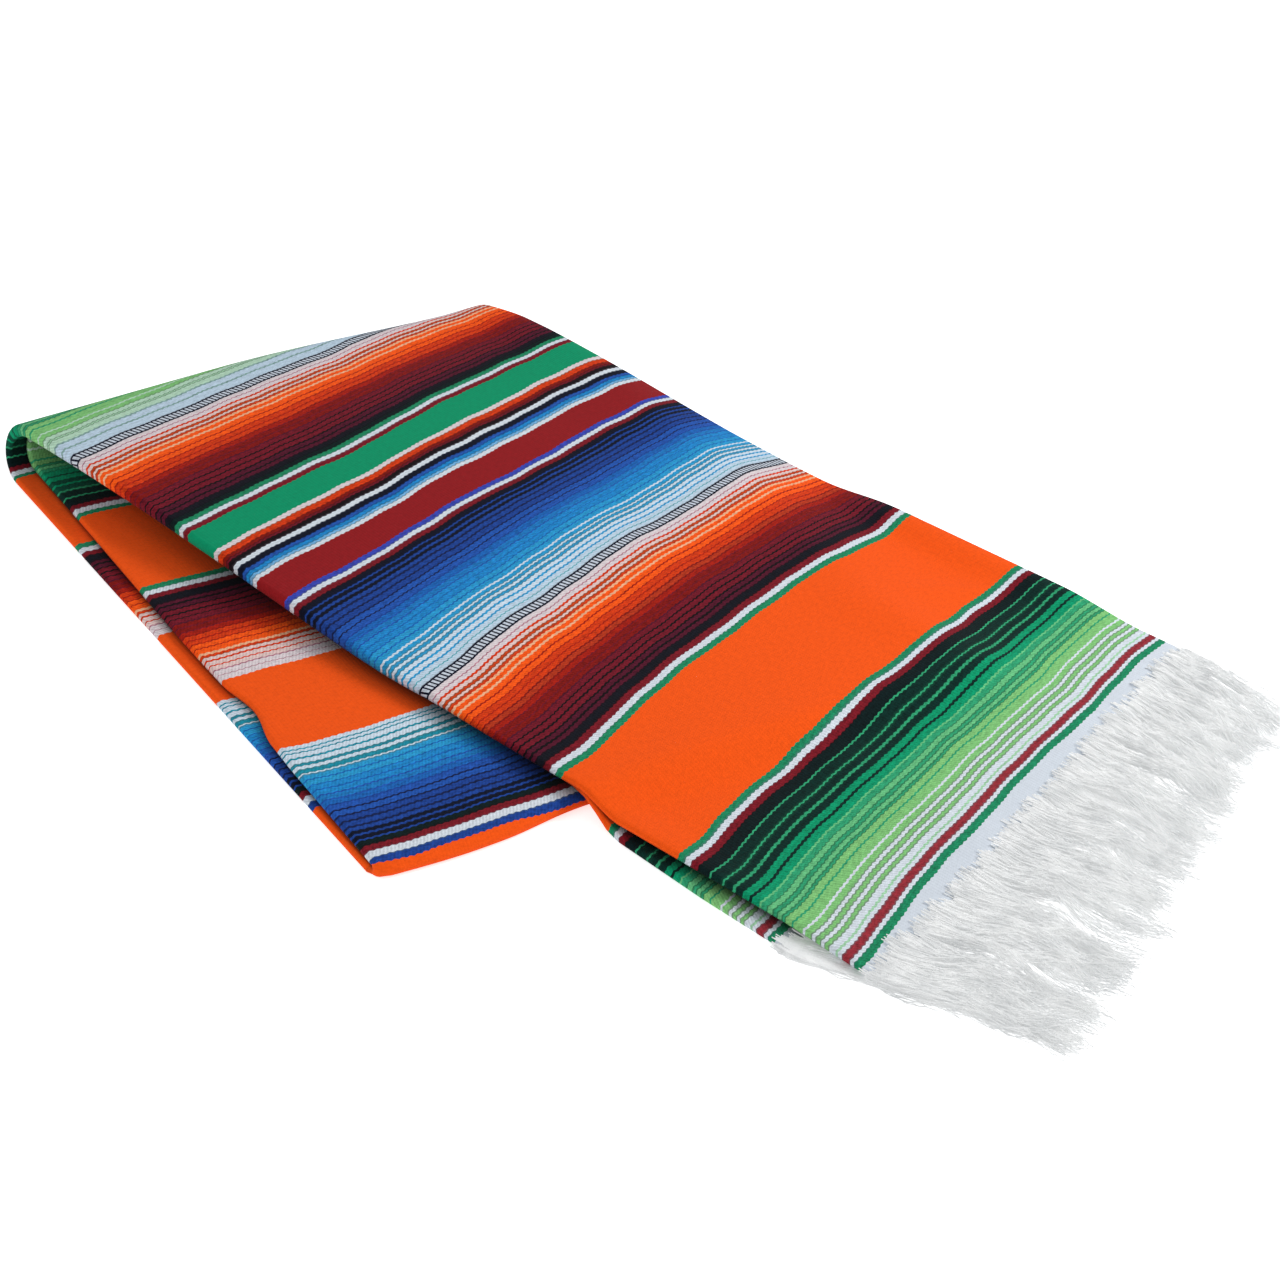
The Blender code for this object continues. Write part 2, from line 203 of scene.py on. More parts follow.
RAMP_LENGTH = 0.40  # from the loop to where the top run touches the lower run
DROP_START = -0.006  # past the lower run's end, the top run comes down to the surface
DROP_LENGTH = 0.030
SIDE_START = 0.020  # and past its far side as well
SIDE_DROP = 0.080
FAR_EDGE_AT = -0.80
CORNER_CUT = 0.008  # the loop's far corner is rounded off by this much
CORNER_REACH = 0.045
EDGE_HOOK = 0.0032  # the outer half's near edge curls down over the inner half
HOOK_FROM = -0.27
HOOK_RISE = 0.06
HOOK_PAST = 0.010
HOOK_FADE = 0.030
END_BULGE = 0.0026  # the lower run's end swells out by this much here
BULGE_AT = 0.060
BULGE_REACH = 0.065
END_FALL = 0.0042  # and the centre band's fold lies back by this much further on
FALL_FROM = 0.085
FALL_LENGTH = 0.055
WAVE_AT = -0.957  # where the inner half's near edge is pushed in
WAVE_REACH = 0.030
WAVE_PUSH = 0.0045
INNER_WOVEN_SHARE = 0.072  # the inner half's woven end, on the way from the outer's to the loop

Edge = namedtuple("Edge", "x near far")
OUTER_EDGES = (
    Edge(0.02, 0.0040, 0.3795),
    Edge(-0.15, 0.0020, 0.3770),
    Edge(-0.35, 0.0005, 0.3740),
    Edge(-0.59, 0.0012, 0.3650),
    Edge(-0.68, 0.0010, 0.3650),
    Edge(-1.13, 0.0125, 0.3680),
)
INNER_EDGES = (
    Edge(0.02, -0.0075, 0.3770),
    Edge(-0.09, -0.0050, 0.3755),
    Edge(-0.150, -0.0012, 0.3745),
    Edge(-0.190, 0.0070, 0.3740),
    Edge(-0.30, 0.0120, 0.3720),
    Edge(-0.59, 0.0110, 0.3625),
    Edge(-0.72, 0.0122, 0.3625),
    Edge(-0.88, 0.0122, 0.3635),
    Edge(-0.94, 0.0140, 0.3640),
    Edge(-1.01, 0.0118, 0.3650),
    Edge(-1.13, 0.0115, 0.3660),
)

Ridge = namedtuple("Ridge", "y width x_from x_to height")
RIDGES = (
    Ridge(0.004, 0.050, -0.200, 0.010, 0.0026),
    Ridge(0.135, 0.060, -0.170, 0.030, 0.0014),
    Ridge(0.262, 0.070, -0.240, 0.000, 0.0018),
    Ridge(0.372, 0.050, -0.300, -0.060, 0.0052),
    Ridge(0.190, 0.080, -0.420, -0.230, 0.0012),
)
RIDGE_FADE = 0.060


# %% Rolling the plan into place
def smooth(value):
    """0 below zero, 1 above one, with level ends between."""
    t = min(1.0, max(0.0, value))
    return t * t * (3 - 2 * t)


def between(rows, x, column):
    """The value of a column at x, from a table whose x falls from row to row."""
    if x >= rows[0].x:
        return getattr(rows[0], column)
    for first, last in zip(rows, rows[1:]):
        if x >= last.x:
            share = (x - first.x) / (last.x - first.x)
            return (1 - share) * getattr(first, column) + share * getattr(last, column)
    return getattr(rows[-1], column)


CREASE = Vector((math.sin(TURN / 2), math.cos(TURN / 2)))
OUTWARD = Vector((-CREASE.y, CREASE.x))
LOWER_RUN = Vector((math.cos(TURN), -math.sin(TURN)))
LOWER_ACROSS = Vector((math.sin(TURN), math.cos(TURN)))


def crease_coordinates(x, y):
    """Distance past the loop's start, and distance along the crease."""
    dx = x - LOOP_START.x
    dy = y - LOOP_START.y
    return dx * OUTWARD.x + dy * OUTWARD.y, dx * CREASE.x + dy * CREASE.y


def loop_radius(along):
    sag = smooth((along - LOOP_SAG_FROM) / (STRIP_WIDTH - LOOP_SAG_FROM))
    return (LOOP_TALL + (LOOP_LOW - LOOP_TALL) * sag) / 2


def loop_wrap(skin):
    """Length of the way round the loop, halfway through a half."""
    return math.pi * (LOOP_TALL / 2 - skin - HALF_THICK / 2)


def lower_plan(skin, x, y):
    """Plan place of a point of the lower run."""
    past, along = crease_coordinates(x, y)
    return LOOP_START + CREASE * along - OUTWARD * (past - loop_wrap(skin))


NOSE_TIP = lower_plan(INNER_SKIN, INNER_END - NOSE_REACH, 0.0)
LOWER_FAR_EDGE = lower_plan(INNER_SKIN, FAR_EDGE_AT, between(INNER_EDGES, FAR_EDGE_AT, "far"))


def top_height(x, y):
    """Height of the top run's upper face."""
    past, along = crease_coordinates(x, y)
    touching = 2 * STACK + SEAM
    ease = (1 + math.cos(math.pi * min(1.0, max(0.0, -past / RAMP_LENGTH)))) / 2
    on_lower_run = touching + (2 * loop_radius(along) - touching) * ease
    plan = Vector((x, y))
    past_tip = (plan - NOSE_TIP).dot(LOWER_RUN)
    past_side = (plan - LOWER_FAR_EDGE).dot(LOWER_ACROSS)
    tip_cover = 1 - smooth((past_tip - DROP_START) / DROP_LENGTH)
    side_cover = 1 - smooth((past_side - SIDE_START) / SIDE_DROP)
    return STACK + (on_lower_run - STACK) * tip_cover * side_cover


def ridge_lift(x, y):
    lift = 0.0
    for ridge in RIDGES:
        across = max(0.0, 1 - abs(y - ridge.y) / (ridge.width / 2))
        rise = smooth((x - ridge.x_from) / RIDGE_FADE) * smooth((ridge.x_to - x) / RIDGE_FADE)
        lift += ridge.height * smooth(across) * rise
    return lift


def place(skin, x, y, depth):
    """Roll a point of a half into place; depth is measured in from the outermost face."""
    past, along = crease_coordinates(x, y)
    wrap = loop_wrap(skin)
    if past <= 0:
        height = top_height(x, y) - skin - depth
        if skin == 0:
            height += ridge_lift(x, y)
        return Vector((x, y, height)) - ORIGIN
    if past < wrap:
        angle = math.pi * past / wrap
        radius = loop_radius(along)
        reach = radius - skin - depth
        plan = LOOP_START + CREASE * along + OUTWARD * (reach * math.sin(angle))
        return Vector((plan.x, plan.y, radius + reach * math.cos(angle))) - ORIGIN
    plan = lower_plan(skin, x, y)
    return Vector((plan.x, plan.y, skin + depth)) - ORIGIN


print("Round the loop", round(loop_wrap(0), 3), "m outside,", round(loop_wrap(INNER_SKIN), 3), "m inside")

# %% [markdown]
# ## Stripes
# The stripes of a serape are its weft. Wide plain bands stand between runs of narrow lines that
# pass from light to dark, and each run is closed off by thin maroon, white and green lines. The
# chart lists them from the fringe to the centre in millimetres, and the second half of the
# blanket mirrors the first. The cloth was folded by hand, so a stripe wanders: each section
# also says where it starts along the strip at five places across the outer half, and at the
# near side of the inner half. The charted widths are stretched between those starts.

# %% Dyes and the stripe chart
DYES = {
    "white": "#DAE3EC", "header": "#D7DFE9", "leaf": "#1F8A60", "red": "#98303A", "mint": "#B9DDC4",
    "pale_green": "#A4D4AE", "lime": "#82C67A", "light": "#69C183", "mid": "#31A272",
    "emerald": "#06986A", "deep": "#08503D", "dark": "#062C26", "black_green": "#081C1D",
    "maroon": "#7C1724", "orange": "#FF5A12", "navy_black": "#12131D", "plum": "#541229",
    "black": "#140A10", "wine": "#741526", "dark_red": "#84130F", "coral": "#B93618",
    "rust": "#A91D0C", "red_orange": "#DA3C0E", "peach": "#F5B78E", "pink": "#E9CCC8",
    "rose": "#B8788A", "blush": "#E2D6DA", "ladder": "#CDD6E2", "pale_blue": "#C2D8EA",
    "ice": "#D2E2F0", "teal_line": "#58A9B8", "cyan": "#2A9BD2", "sky": "#2089CE",
    "blue": "#1F7AC2", "azure": "#1C66B8", "royal": "#2356B0", "cobalt": "#1E4496",
    "navy": "#142250", "violet": "#3A49B4", "crimson": "#951A1F", "light_blue": "#74B6E6",
    "black_blue": "#0B1024", "grey_green": "#86A8A4", "sea": "#1C8FA6",
}

FRINGE_GREENS = """18 header 4.4 leaf 2.9 white 4.3 red 2.5 white 1.3 pale_green 4.2 white 2.3 lime
2.7 white 2.7 lime 2.8 white 3.7 lime 1.5 white 5.9 lime 1.0 mid 3.9 lime 1.8 mid 3.1 light 2.6 mid
3.2 light 3.6 mid 1.4 light 4.7 emerald 1.6 dark 4.2 emerald 4.1 dark 2.2 mid 4.4 dark 2.3 mid 6.3 dark
1.1 mid 7.2 black_green 4.6 maroon 4.3 white 3.9 leaf"""
ORANGE_ONE = "79 orange"
WINE_CORDS = "3.4 wine 1.1 black 3.4 wine 1.0 black"
RUST_CORDS = "3.4 dark_red 1.0 wine 3.4 dark_red 0.9 wine 3.4 rust 0.9 dark_red"
ORANGE_CORDS = "3.4 red_orange 0.9 rust 3.5 red_orange 0.9 rust 3.6 orange 0.9 rust"
PINK_CORDS = """1.5 peach 3.0 orange 1.7 peach 2.0 red_orange 2.3 pink 1.9 red_orange 2.7 pink
1.5 red_orange 3.0 blush 0.8 rose 3.6 blush 6.6 ladder"""
REDS_ONE = f"""4.3 leaf 4.7 white 4.8 maroon 5.3 navy_black 3.0 plum 1.5 black 3.0 plum 1.3 black
{WINE_CORDS} 3.4 wine 1.0 plum {RUST_CORDS} 3.3 coral 0.9 dark_red {ORANGE_CORDS} 3.8 orange
{PINK_CORDS}"""
BLUES_ONE = """3.5 pale_blue 0.8 teal_line 3.4 pale_blue 1.3 cyan 3.0 ice 1.6 cyan 2.8 ice 1.9 cyan
2.6 ice 2.2 cyan 2.0 ice 3.0 cyan 1.4 ice 3.6 cyan 0.9 azure 3.6 cyan 0.9 azure 3.7 sky 0.9 azure
3.7 sky 0.9 royal 3.7 blue 1.0 royal 3.7 azure 1.0 cobalt 3.7 royal 1.1 navy 3.7 royal 1.2 navy
3.6 cobalt 1.4 navy 3.4 cobalt 1.6 navy 3.0 cobalt 1.8 black_blue 2.6 cobalt 2.4 black_blue 2.0 cobalt
4.0 black_blue 4.2 maroon 4.1 white 3.8 violet"""
CRIMSON = "22.5 crimson"
NARROW = """3.6 white 2.2 light_blue 3.0 sky 3.0 royal 3.6 black_blue 4.4 white 3.2 black 2.0 wine
2.3 dark_red 4.6 red_orange 3.7 blush"""
EMERALD = "22 emerald"
REDS_TWO = f"""3.5 maroon 4.1 white 3.6 leaf 3.7 black_green 4.0 navy_black 3.0 plum 1.3 black
3.2 plum 1.2 black {WINE_CORDS} 3.4 wine 1.0 plum {RUST_CORDS} {ORANGE_CORDS} 4.2 orange
{PINK_CORDS}"""
GREENS_TWO = """7.2 pale_blue 1.5 grey_green 5.1 pale_blue 1.5 grey_green 4.7 mint 2.0 pale_green
3.7 mint 4.1 lime 1.4 mint 6.2 lime 1.2 mid 4.1 lime 2.0 mid 3.1 light 3.1 mid 4.5 emerald 1.4 deep
4.1 emerald 3.1 deep 2.5 emerald 3.7 deep 2.3 mid 5.1 dark 1.2 mid 6.2 black_green 3.7 maroon
4.7 white 3.3 leaf"""
ORANGE_TWO = "86 orange"
REDS_THREE = f"""4.3 leaf 4.7 white 3.8 maroon 6.0 navy_black 3.0 plum 1.4 black 3.2 plum 1.2 black
{WINE_CORDS} 3.6 wine 1.0 plum {RUST_CORDS} {ORANGE_CORDS} 4.2 orange 1.6 peach 2.4 red_orange
2.8 pink 1.6 red_orange 3.0 pink 1.4 red_orange 3.4 pink 1.0 rose 3.6 blush 0.9 rose 4.2 blush"""
ORANGE_THREE = "71 orange"
BLUES_TWO = """2.8 ice 1.0 sea 2.0 ice 1.1 sea 3.2 ice 1.6 sea 3.8 ice 1.9 sea 3.1 ice 3.2 sea 1.8 ice
4.2 cyan 0.9 azure 3.9 cyan 0.9 azure 3.8 sky 0.9 azure 3.8 sky 1.0 royal 3.8 blue 1.0 royal 3.8 azure
1.1 cobalt 3.8 royal 1.2 navy 3.8 royal 1.3 navy 3.7 cobalt 1.5 navy 3.4 cobalt 1.7 navy 3.0 cobalt
2.0 black_blue 2.4 cobalt 2.6 black_blue 1.4 cobalt 4.0 black_green 4.8 maroon 5.8 white 5.0 cobalt"""
CENTRE = "60 orange"

# Places in millimetres: five across the outer half, then the near side of the inner half
Section = namedtuple("Section", "chart near quarter middle three_quarter far inner")
SECTIONS = (
    Section(FRINGE_GREENS, 20.0, 4.0, -9.5, -18.5, -28.0, -25.0),
    Section(ORANGE_ONE, -112.5, -126.5, -133.5, -141.5, -151.0, -156.5),
    Section(REDS_ONE, -190.5, -205.5, -217.5, -223.5, -229.0, -235.0),
    Section(BLUES_ONE, -296.0, -310.0, -320.5, -327.0, -334.0, -341.0),
    Section(CRIMSON, -401.0, -407.5, -414.5, -421.5, -428.5, -447.0),
    Section(NARROW, -424.5, -429.0, -436.5, -444.5, -450.0, -471.0),
    Section(EMERALD, -461.5, -464.5, -471.5, -482.0, -487.0, -508.0),
    Section(REDS_TWO, -484.0, -486.0, -493.5, -505.5, -510.0, -531.0),
    Section(GREENS_TWO, -587.5, -591.5, -592.5, -602.0, -602.0, -614.0),
    Section(ORANGE_TWO, *[-684.0] * 5, -735.5),
    Section(REDS_THREE, *[-770.0] * 5, -820.5),
    Section(ORANGE_THREE, *[-878.0] * 5, -923.5),
    Section(BLUES_TWO, *[-952.0] * 5, -995.0),
    Section(CENTRE, *[-1057.5] * 5, -1102.0),
)
COLUMN_STEP = 0.090  # distance across from one column of places to the next

Band = namedtuple("Band", "start width dye")


def read_chart():
    """Every band of the half blanket with its distance along the chart, and each section's start."""
    bands = []
    starts = []
    at = 0.0
    for section in SECTIONS:
        starts.append(at)
        words = section.chart.split()
        for width, dye in zip(words[::2], words[1::2]):
            bands.append(Band(at, float(width) * MM, dye))
            at += float(width) * MM
    return bands, starts


BANDS, SECTION_STARTS = read_chart()
print(len(BANDS), "bands in", round(BANDS[-1].start + BANDS[-1].width, 3), "m of chart")


# %% Where a point of the cloth falls in the chart
def across(section, y):
    """A section's start at y, on a smooth line through its five places."""
    places = (section.near, section.quarter, section.middle, section.three_quarter, section.far)
    at = min(3.999, max(0.0, y / COLUMN_STEP))
    k = int(at)
    t = at - k
    before, here = places[max(0, k - 1)], places[k]
    there, after = places[k + 1], places[min(4, k + 2)]
    slope_in = (there - before) / 2
    slope_out = (after - here) / 2
    value = (2 * t**3 - 3 * t**2 + 1) * here + (t**3 - 2 * t**2 + t) * slope_in
    value += (3 * t**2 - 2 * t**3) * there + (t**3 - t**2) * slope_out
    return value * MM


def end_bulge(y):
    """How far the lower run's end swells out."""
    return END_BULGE * smooth(1 - abs(y - BULGE_AT) / BULGE_REACH)


def end_drift(y):
    """How far the centre band's fold lies back from a straight line."""
    return END_FALL * smooth((y - FALL_FROM) / FALL_LENGTH) - end_bulge(y)


WANDER = 0.9 * MM  # hand-woven and hand-laid stripes waver by about this much
SMALL_WANDER = 0.6 * MM
BULGE_FROM = LOOP_START.x - 0.2  # the stripes beyond this follow the bulge of the lower run's end


def section_line(section, inner, y):
    """x of a section's start at y."""
    x = across(section, y)
    if inner:
        x += (section.inner - section.near) * MM
        if x < BULGE_FROM:
            x -= end_bulge(y)
    x += SMALL_WANDER * math.sin(y / 0.0078 + section.near * 0.012) * math.sin(y / 0.031 + 1.0)
    return x + WANDER * math.sin(y / 0.021 + section.near * 0.037)


def chart_place(inner, x, y):
    """Distance along the chart of a point of the cloth."""
    last_line = section_line(SECTIONS[0], inner, y)
    if x >= last_line:
        return last_line - x
    for k in range(1, len(SECTIONS)):
        line = section_line(SECTIONS[k], inner, y)
        if x >= line:
            share = (last_line - x) / (last_line - line)
            return SECTION_STARTS[k - 1] + share * (SECTION_STARTS[k] - SECTION_STARTS[k - 1])
        last_line = line
    return SECTION_STARTS[-1] + last_line - x


# %% [markdown]
# ## The woven panel
# A section across the strip is one closed line of cloth: its face, the two folds that lie on
# each other along the far side, with the parting between them, its back, and the single fold
# along the near side. The wall is about one layer thick, so the panel is a thin shell with
# real edges. The section is swept along the strip: top run, loop, lower run, round the centre
# band, and back to the other woven end. The hidden back has wider spacing.

# %% A section across the strip
WALL = 0.95 * MM
END_WALL = 1.05 * MM  # of the last rings at the woven ends
END_RINGS = 3
FOLD_ROUND = 2.6 * MM
SHOULDER = 5.5 * MM  # from the near edge to where the back is level
PARTING_DEEP = 9 * MM
PARTING_GAP = 0.10 * MM
PARTING_STEP = 3 * MM  # from its root to the next point out
LOWER_FOLD_BACK = 1.6 * MM  # the selvedges lie this far inside the fold above them
FACE_STEPS = 64
BACK_STEPS = 16
FOLD_STEPS = 10
LOBE_STEPS = 7


def far_side(far):
    """(y, depth) along the two layered folds, from the face to the back."""
    half = HALF_THICK / 2
    upper = half - PARTING_GAP / 2
    lower = half + PARTING_GAP / 2
    round_by = upper / 2

    def fold(tip, top):
        turns = [math.pi * k / LOBE_STEPS for k in range(LOBE_STEPS + 1)]
        return [
            (tip - round_by + round_by * math.sin(turn), top + round_by * (1 - math.cos(turn)))
            for turn in turns
        ]

    root = far - PARTING_DEEP
    next_out = root + PARTING_STEP
    parting = [(next_out, upper), (root, upper), (root - PARTING_GAP / 2, half)]
    parting += [(root, lower), (next_out, lower)]
    return fold(far, 0.0) + parting + fold(far - LOWER_FOLD_BACK, lower)


def near_side(near, hook):
    """(y, depth) round the single fold, from the back to the face."""
    deep = (HALF_THICK + hook) / 2
    points = [(near + SHOULDER, HALF_THICK)]
    for k in range(FOLD_STEPS + 1):
        angle = math.pi * (0.5 - k / FOLD_STEPS)
        points.append((near + FOLD_ROUND * (1 - math.cos(angle)), deep * (1 + math.sin(angle))))
    return points


def section_outline(near, far, hook):
    first = near + FOLD_ROUND
    last = far - HALF_THICK / 4
    face = [(first + (last - first) * k / FACE_STEPS, 0.0) for k in range(1, FACE_STEPS)]
    last -= LOWER_FOLD_BACK
    first = near + SHOULDER
    back = [(last + (first - last) * k / BACK_STEPS, HALF_THICK) for k in range(1, BACK_STEPS)]
    return face + far_side(far) + back + near_side(near, hook)


def inside_of(outline, wall):
    """The outline moved in by the wall's thickness."""
    count = len(outline)
    moved = []
    for k, (y, depth) in enumerate(outline):
        y_before, depth_before = outline[k - 1]
        y_after, depth_after = outline[(k + 1) % count]
        dy, dd = y_after - y_before, depth_after - depth_before
        length = math.hypot(dy, dd)
        moved.append((y - wall * dd / length, depth + wall * dy / length))
    return moved


def cloth_across(outline):
    """Distance across the cloth itself at each point: y on the face, and on round the folds."""
    count = len(outline)
    root = FACE_STEPS + LOBE_STEPS + 2  # deep in the parting, where both ways round can meet unseen
    across_cloth = [y for y, depth in outline]
    for k in range(FACE_STEPS - 1, root + 1):
        across_cloth[k] = across_cloth[k - 1] + math.dist(outline[k], outline[k - 1])
    travelled = outline[0][0]
    for k in range(count - 1, root, -1):
        travelled -= math.dist(outline[k], outline[(k + 1) % count])
        across_cloth[k] = travelled
    return across_cloth


print(len(section_outline(0.0, STRIP_WIDTH, 0.0)), "points round a section")

# %% [markdown]
# Cloth that was folded by hand keeps soft troughs and ridges. Each row of the next tables is
# one of them, with its middle in the plan and the angle it lies at. A trough has a negative
# height.

# %% Soft creases
Crease = namedtuple("Crease", "x y length width angle height")
OUTER_CREASES = (
    Crease(-0.030, 0.300, 0.150, 0.030, 62, 0.0014),
    Crease(-0.065, 0.120, 0.200, 0.034, 78, -0.0008),
    Crease(-0.100, 0.210, 0.180, 0.040, 84, 0.0009),
    Crease(-0.160, 0.330, 0.120, 0.028, 55, 0.0012),
    Crease(-0.185, 0.060, 0.140, 0.036, 100, -0.0007),
    Crease(-0.250, 0.240, 0.220, 0.050, 82, 0.0008),
    Crease(-0.330, 0.110, 0.200, 0.044, 96, 0.0009),
    Crease(-0.395, 0.290, 0.190, 0.040, 74, -0.0009),
    Crease(-0.460, 0.160, 0.260, 0.052, 88, 0.0010),
    Crease(-0.530, 0.060, 0.150, 0.040, 105, 0.0009),
    Crease(-0.560, 0.270, 0.200, 0.048, 80, -0.0009),
    Crease(-0.555, 0.352, 0.130, 0.060, 0, 0.0022),
)
INNER_CREASES = (
    Crease(-0.770, 0.080, 0.150, 0.040, 86, 0.0007),
    Crease(-0.860, 0.060, 0.130, 0.034, 98, -0.0005),
    Crease(-0.930, 0.130, 0.170, 0.040, 84, 0.0007),
    Crease(-1.000, 0.060, 0.140, 0.032, 92, 0.0006),
    Crease(-1.050, 0.190, 0.220, 0.036, 88, -0.0004),
)


def crease_lift(creases, x, y):
    lift = 0.0
    for crease in creases:
        angle = math.radians(crease.angle)
        dx, dy = x - crease.x, y - crease.y
        along = abs(dx * math.cos(angle) + dy * math.sin(angle)) / (crease.length / 2)
        aside = abs(dy * math.cos(angle) - dx * math.sin(angle)) / (crease.width / 2)
        if along < 1 and aside < 1:
            lift += crease.height * smooth(1 - along) * smooth(1 - aside)
    return lift


# %% Stations along the strip
Station = namedtuple("Station", "point near far hook")


def stripe_line(x_near):
    return lambda y: x_near - STRIPE_SKEW * y


def loop_line(past):
    """x on the line that lies the given distance past the loop's start."""
    def x_of_y(y):
        along = (y - LOOP_START.y - OUTWARD.y * past) / CREASE.y
        return LOOP_START.x + CREASE.x * along + OUTWARD.x * past
    return x_of_y


def end_line(end):
    return lambda y: end + end_drift(y)


def blend_line(first, last, share):
    return lambda y: (1 - share) * first(y) + share * last(y)


def half_station(inner, line):
    """A station of a half on the line x = line(y), whose face is the outside of the folded strip."""
    edges = INNER_EDGES if inner else OUTER_EDGES
    skin = INNER_SKIN if inner else 0.0
    creases = INNER_CREASES if inner else OUTER_CREASES

    def point(y, depth):
        x = line(y)
        depth -= crease_lift(creases, x, y) * max(0.0, 1 - depth / HALF_THICK)
        spot = place(skin, x, y, HALF_THICK - depth if inner else depth)
        return spot, chart_place(inner, x, max(0.0, y))

    x_near = line(0.0)
    past, _ = crease_coordinates(x_near, 0.0)
    hook = 0.0
    if not inner:
        hook = EDGE_HOOK * smooth((HOOK_FROM - x_near) / HOOK_RISE)
        hook *= 1 - smooth((past - HOOK_PAST) / HOOK_FADE)
    far = between(edges, line(STRIP_WIDTH / 2), "far")
    past, _ = crease_coordinates(line(far), far)
    far -= CORNER_CUT * smooth(1 - abs(past - loop_wrap(skin) / 3) / CORNER_REACH)
    near = between(edges, x_near, "near")
    if inner:
        near += WAVE_PUSH * smooth(1 - abs(x_near - WAVE_AT) / WAVE_REACH)
    return Station(point, near, far, hook)


def nose_station(angle):
    """A station round the centre band's fold: angle 0 is the outer half, pi the inner half."""
    share = angle / math.pi
    bend = NOSE_REACH - NOSE_FLAT

    def edge(column):
        outer = between(OUTER_EDGES, INNER_END, column)
        return (1 - share) * outer + share * between(INNER_EDGES, INNER_END, column)

    near, far = edge("near"), edge("far")

    def point(y, depth):
        inset = min(1.0, max(0.0, min(y - near, far - y) / NOSE_CORNER))
        swell = 0.5 + 0.5 * math.sqrt(1 - (1 - inset) ** 2)
        radius = STACK / 2 - depth
        reach = (NOSE_FLAT + bend * math.sin(angle) * radius / (STACK / 2)) * swell
        end = INNER_END + end_drift(y)
        plan = lower_plan(INNER_SKIN, end - reach, y)
        height = STACK / 2 - radius * math.cos(angle)
        past_end = NOSE_FLAT + bend * (math.pi - angle) * NOSE_CLOTH
        return Vector((plan.x, plan.y, height)) - ORIGIN, chart_place(True, end - past_end, y)

    return Station(point, near, far, 0.0)


# Stations on each stretch, along the cloth
OUTER_TOP_STEPS, OUTER_LOOP_STEPS, OUTER_UNDER_STEPS = 124, 22, 70
NOSE_STEPS = 14
INNER_UNDER_STEPS, INNER_LOOP_STEPS, INNER_TOP_STEPS = 88, 18, 62
NOSE_CLOTH = 0.9  # cloth used by the centre band's fold, as a share of a round fold's arc
HAIR = 0.01 * MM  # keeps the last station of a stretch on its own side of a border


def strip_stations():
    """Every station, from the outer half's woven end to the inner half's."""
    stations = []

    def run(inner, first, last, steps, last_too=1):
        for k in range(steps + last_too):
            stations.append(half_station(inner, blend_line(first, last, k / steps)))

    fringe_line = stripe_line(HEADER_END)
    start = loop_line(0.0)
    run(False, fringe_line, start, OUTER_TOP_STEPS, 0)
    wrap = loop_wrap(0.0)
    for k in range(OUTER_LOOP_STEPS):
        stations.append(half_station(False, loop_line(HAIR + wrap * k / OUTER_LOOP_STEPS)))
    own_end = lower_plan(0.0, INNER_END, 0.0)
    outer_end = INNER_END - (lower_plan(INNER_SKIN, INNER_END, 0.0) - own_end).dot(LOWER_RUN)
    run(False, loop_line(wrap + HAIR), end_line(outer_end), OUTER_UNDER_STEPS)
    for k in range(NOSE_STEPS + 1):
        stations.append(nose_station(math.pi * k / NOSE_STEPS))
    wrap = loop_wrap(INNER_SKIN)
    run(True, end_line(INNER_END), loop_line(wrap + HAIR), INNER_UNDER_STEPS)
    for k in range(1, INNER_LOOP_STEPS):
        stations.append(half_station(True, loop_line(wrap * (1 - k / INNER_LOOP_STEPS))))
    run(True, start, blend_line(fringe_line, start, INNER_WOVEN_SHARE), INNER_TOP_STEPS)
    return stations


# %% Build the panel
def ring_of(mesh, station, outline, layer, rows):
    """Vertices of one ring, and their place on the cloth."""
    ring = []
    for (y, depth), across_cloth in zip(outline, layer):
        spot, along_chart = station.point(y, depth)
        ring.append(mesh.verts.new(spot))
        rows.append((along_chart, across_cloth))
    return ring


def skin_rows(mesh, first, last, flip):
    """Quads between two rings."""
    count = len(first)
    for k in range(count):
        after = (k + 1) % count
        corners = (first[k], first[after], last[after], last[k])
        mesh.faces.new(reversed(corners) if flip else corners)


def woven_panel(name):
    stations = strip_stations()
    mesh = bmesh.new()
    rows = []
    outside = []
    inside = []
    final = len(stations) - 1
    for k, station in enumerate(stations):
        outline = section_outline(station.near, station.far, station.hook)
        plan = cloth_across(outline)
        outside.append(ring_of(mesh, station, outline, plan, rows))
        at_end = min(k, final - k) < END_RINGS
        if at_end or k % 2 == 0:
            inner_outline = inside_of(outline, END_WALL if at_end else WALL)
            inside.append(ring_of(mesh, station, inner_outline, plan, rows))
    for first, last in zip(outside, outside[1:]):
        skin_rows(mesh, first, last, False)
    for first, last in zip(inside, inside[1:]):
        skin_rows(mesh, first, last, True)
    skin_rows(mesh, outside[0], inside[0], True)
    skin_rows(mesh, outside[-1], inside[-1], False)
    bmesh.ops.recalc_face_normals(mesh, faces=mesh.faces[:])
    mesh.verts.index_update()
    layer = mesh.loops.layers.uv.new("weave")
    for face in mesh.faces:
        face.smooth = True
        for loop in face.loops:
            loop[layer].uv = rows[loop.vert.index]
    data = bpy.data.meshes.new(name)
    mesh.to_mesh(data)
    mesh.free()
    print(name, len(data.polygons), "quads,", len(stations), "stations")
    return put(name, data)


panel = woven_panel("serape_panel")

# %% [markdown]
# ## Dyed weft
# The cloth is a weft-faced weave of acrylic and cotton yarn: the warp is hidden, and the weft
# covers it in small ribs. It is matt, with a soft nap. A border between two dyes isn't a
# straight line, because the weft passes over one warp pair and under the next: it is a fine
# zigzag, with the pitch of the warp. Colour ramps hold the chart, one after another, and the
# ladder line is drawn on top of them.

